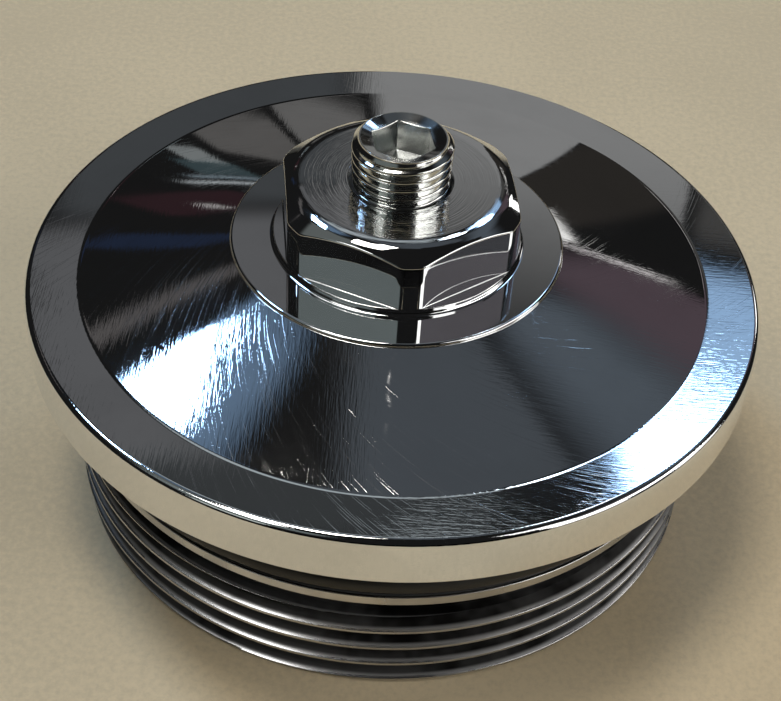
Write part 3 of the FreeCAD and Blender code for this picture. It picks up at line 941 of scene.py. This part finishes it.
class FILTERCAP_OT_stage(bpy.types.Operator):
    """Build the floor, the lights and the camera"""

    bl_idname = "filter_cap.stage"
    bl_label = "Stage"

    def execute(self, context):
        settings = context.scene.filter_cap
        stage, finish = settings.stage, settings.finish
        scene = context.scene
        scene.view_settings.view_transform = "Standard"
        self.make_floor(stage, finish)
        self.make_lights(stage, finish)
        self.make_world(scene, finish)
        self.make_camera(scene, stage)
        return {"FINISHED"}

    @staticmethod
    def make_floor(stage, finish):
        """A flat round board, level with the skirt's foot."""
        turns = np.linspace(0, FULL_TURN, FLOOR_COLUMNS, endpoint=False)
        points = np.zeros((2, FLOOR_COLUMNS, 2))
        points[0, :, 0] = stage.floor_radius
        normals = np.zeros((2, FLOOR_COLUMNS, 3))
        normals[..., 2] = 1
        triangles = weave(2, FLOOR_COLUMNS, False)
        floor = put_piece("floor", points, normals, turns, triangles, [pale_board(finish)])

    @staticmethod
    def make_lights(stage, finish):
        """Windows, a ceiling light and the dim walls that the polished faces mirror, and a dark flag.

        A card is its name, its azimuths, altitudes, tint and brightness, and where it has them its fades and
        its lean."""
        target = Vector((0, 0, CAD_HIGH.z / 2))
        reach = stage.light_distance
        white, day = (1.0, 0.98, 0.95), finish.daylight
        soft_light("ceiling_light", target, -62.0, 79.0, reach, 14.0, 15.0, 13.0, (1.0, 0.95, 0.88))
        cards = [
            ("left_window", (-57, -38), (49.9, 58.2), day, 22.0, SHARP, -6.2),
            ("left_sky", (-57, -28), (50, 67.5), day, 0.24, (0, 0.3, 0, 0.3)),
            ("right_window", (11.4, 29), (42.8, 49.2), day, 7.0, (0, 0.1, 0.05, 0.1), 5),
            ("upper_window", (13, 20), (50.5, 56), (0.8, 0.9, 1.0), 9.0),
            ("upper_rail", (-28, 11), (50, 60), (0.85, 0.95, 1.0), 0.4, (0.1, 0, 0.1, 0.1)),
            ("right_sky", (10, 29), (37.2, 43), day, 0.68, (0.2, 0.1, 0.15, 0)),
            ("side_window", (80, 134), (19, 36), white, 3.0),
            ("side_window_low", (112, 134), (5, 19), white, 1.6),
            ("side_window_far", (78, 96), (5, 19), white, 1.6),
            ("side_room", (96, 112), (5, 19), (0.9, 0.9, 1.0), 0.05),
            ("left_lamp", (-142, -108), (55, 65), white, 5.0),
            ("corner_window", (118, 142), (36, 52), white, 1.6, (0.1, 0.1, 0, 0)),
            ("far_window", (36, 44), (20, 26), white, 3.0),
            ("rear_window", (-150, -128), (20, 33), (0.92, 1.0, 0.95), 0.5),
            ("rear_wall", (-168, -100), (33.5, 56), (0.86, 1.0, 0.98), 0.14, (0.1, 0.1, 0, 0.1)),
            ("left_wall", (-120, -62), (46, 72), (0.90, 1.0, 0.97), 0.11, (0.1, 0.1, 0.1, 0.1)),
            ("right_room", (85, 118), (34, 52), (1.0, 0.92, 1.0), 0.085, (0.1, 0, 0, 0.1)),
            ("ceiling", (-25, 60), (60, 84), (0.74, 0.86, 1.0), 0.07, (0.2, 0, 0.1, 0.2)),
            ("right_wall", (31, 70), (36, 63), (0.68, 0.83, 1.0), 0.10, (0.1, 0, 0.4, 0.4)),
            ("purple_wall", (25, 42), (28.8, 44), (1.0, 0.70, 0.86), 0.065, (0.3, 0, 0, 0.55)),
            ("back_wall", (-3, 13.4), (-2, 44), (1.0, 1.0, 0.99), 0.21, (0.1, 0, 0, 0.25)),
            ("back_shelf", (-20, -1), (37, 47), (0.95, 0.96, 1.0), 0.10, (0.1, 0.05, 0.1, 0.1)),
            ("back_low", (-18, -2), (29, 37.5), (0.85, 0.93, 1.0), 0.05, (0.2, 0.1, 0.2, 0.1)),
            ("back_rail", (-20, 8), (46, 50), (0.85, 0.95, 1.0), 0.035, (0.1, 0.1, 0.1, 0.1)),
            ("shelf", (-60, -30), (39.5, 43), (1.0, 0.92, 0.9), 0.08, (0, 0.1, 0.2, 0.2)),
            ("slanting_edge", (18, 20), (20, 27), white, 0.9, (0.3, 0.3, 0, 0), 6),
            ("short_edge", (24.6, 32), (27.7, 28.6), (1.0, 0.94, 0.93), 0.6, (0.1, 0.2, 0.3, 0.3)),
            ("right_low", (13.5, 24.5), (28.5, 37), (1.0, 0.97, 0.92), 0.045, (0.1, 0.1, 0.2, 0.1)),
            ("brown_corner", (13.6, 24), (8, 28), (1.0, 0.84, 0.68), 0.014, (0, 0.2, 0.1, 0.1)),
            ("blue_box", (-33.2, -30), (26, 33.5), (0.15, 0.36, 1.0), 0.03, (0.1, 0.1, 0.1, 0.1), 3),
            ("red_box", (-27, -20.5), (20, 25.5), (1.0, 0.25, 0.4), 0.016, (0.1, 0.1, 0.1, 0.1)),
            ("red_box_edge", (-24.4, -23.7), (23, 24.6), white, 0.45, (0.2, 0.2, 0.1, 0.1)),
            ("box_edge", (-22.5, -17.5), (18.2, 18.8), (0.9, 0.97, 1.0), 0.4, (0.2, 0.1, 0.2, 0.2)),
            ("lower_edge", (-21.5, -17), (17.2, 17.6), (0.7, 0.88, 1.0), 0.3, (0.2, 0.1, 0.2, 0.2)),
            ("teal_box", (-20.3, -17.2), (14.6, 17.1), (0.55, 0.9, 1.0), 0.05, (0.1, 0.1, 0.1, 0.1)),
            ("pale_box", (-19.5, -17.5), (12.8, 15), (0.93, 1.0, 1.0), 0.17, (0.1, 0.2, 0.1, 0.1)),
            ("brown_wall", (-17, -10.6), (7.5, 13.4), (1.0, 0.95, 0.91), 0.085, (0.1, 0.05, 0.2, 0.1)),
            ("brown_wall_near", (-10.2, -3), (5, 11), (1.0, 0.97, 0.94), 0.11, (0.05, 0.1, 0.2, 0.1)),
        ]
        sky_card("camera_flag", target, stage.flag_distance, (138, 222), (-9, 12), white, 0.0)
        for name, *card in cards:
            sky_card(name, target, reach, *card)

    @staticmethod
    def make_world(scene, finish):
        """A dim, even room."""
        world = bpy.data.worlds.new("room")
        world.use_nodes = True
        background = next(node for node in world.node_tree.nodes if node.type == "BACKGROUND")
        background.inputs["Color"].default_value = paint(finish.room)
        scene.world = world

    @staticmethod
    def make_camera(scene, stage):
        """A camera at the photograph's place, with its roll."""
        lift, roll = stage.elevation, stage.roll
        back = Vector((0, -math.cos(lift), math.sin(lift)))
        level, steep = Vector((1, 0, 0)), Vector((0, math.sin(lift), math.cos(lift)))
        right = math.cos(roll) * level + math.sin(roll) * steep
        up = math.cos(roll) * steep - math.sin(roll) * level
        camera = bpy.data.objects.new("camera", bpy.data.cameras.new("camera"))
        camera.data.sensor_width = stage.sensor
        camera.data.lens = stage.focal_pixels / IMAGE_WIDTH * stage.sensor
        camera.data.clip_start = CAMERA_NEAR
        place = Matrix((right, up, back)).transposed().to_4x4()
        place.translation = (stage.eye_x, stage.eye_y, stage.eye_z)
        camera.matrix_world = place
        scene.collection.objects.link(camera)
        scene.camera = camera


class FILTERCAP_PT_panel(bpy.types.Panel):
    """Settings and build buttons"""

    bl_idname = "FILTERCAP_PT_panel"
    bl_label = "Filter Cap"
    bl_space_type = "VIEW_3D"
    bl_region_type = "UI"
    bl_category = "Filter Cap"

    def draw(self, context):
        settings = context.scene.filter_cap
        for operator in OPERATORS:
            self.layout.operator(operator.bl_idname)
        for group in (settings.cap, settings.plug, settings.finish, settings.stage):
            box = self.layout.box()
            for name in group.__annotations__:
                box.prop(group, name)


OPERATORS = [FILTERCAP_OT_cap_body, FILTERCAP_OT_seal, FILTERCAP_OT_port_plug, FILTERCAP_OT_stage]
GROUPS = [CapSizes, PlugSizes, FinishColours, StageSettings, FilterCapSettings]
CLASSES = [*GROUPS, *OPERATORS, FILTERCAP_PT_panel]


def register():
    """Register the classes and the scene's settings."""
    for item in CLASSES:
        bpy.utils.register_class(item)
    bpy.types.Scene.filter_cap = bpy.props.PointerProperty(type=FilterCapSettings)


def unregister():
    """Take the settings and the classes away again."""
    del bpy.types.Scene.filter_cap
    for item in reversed(CLASSES):
        bpy.utils.unregister_class(item)


def main():
    """Build every piece and the stage."""
    register()
    bpy.ops.filter_cap.cap_body()
    bpy.ops.filter_cap.seal()
    bpy.ops.filter_cap.port_plug()
    bpy.ops.filter_cap.stage()


if __name__ == "__main__":
    main()
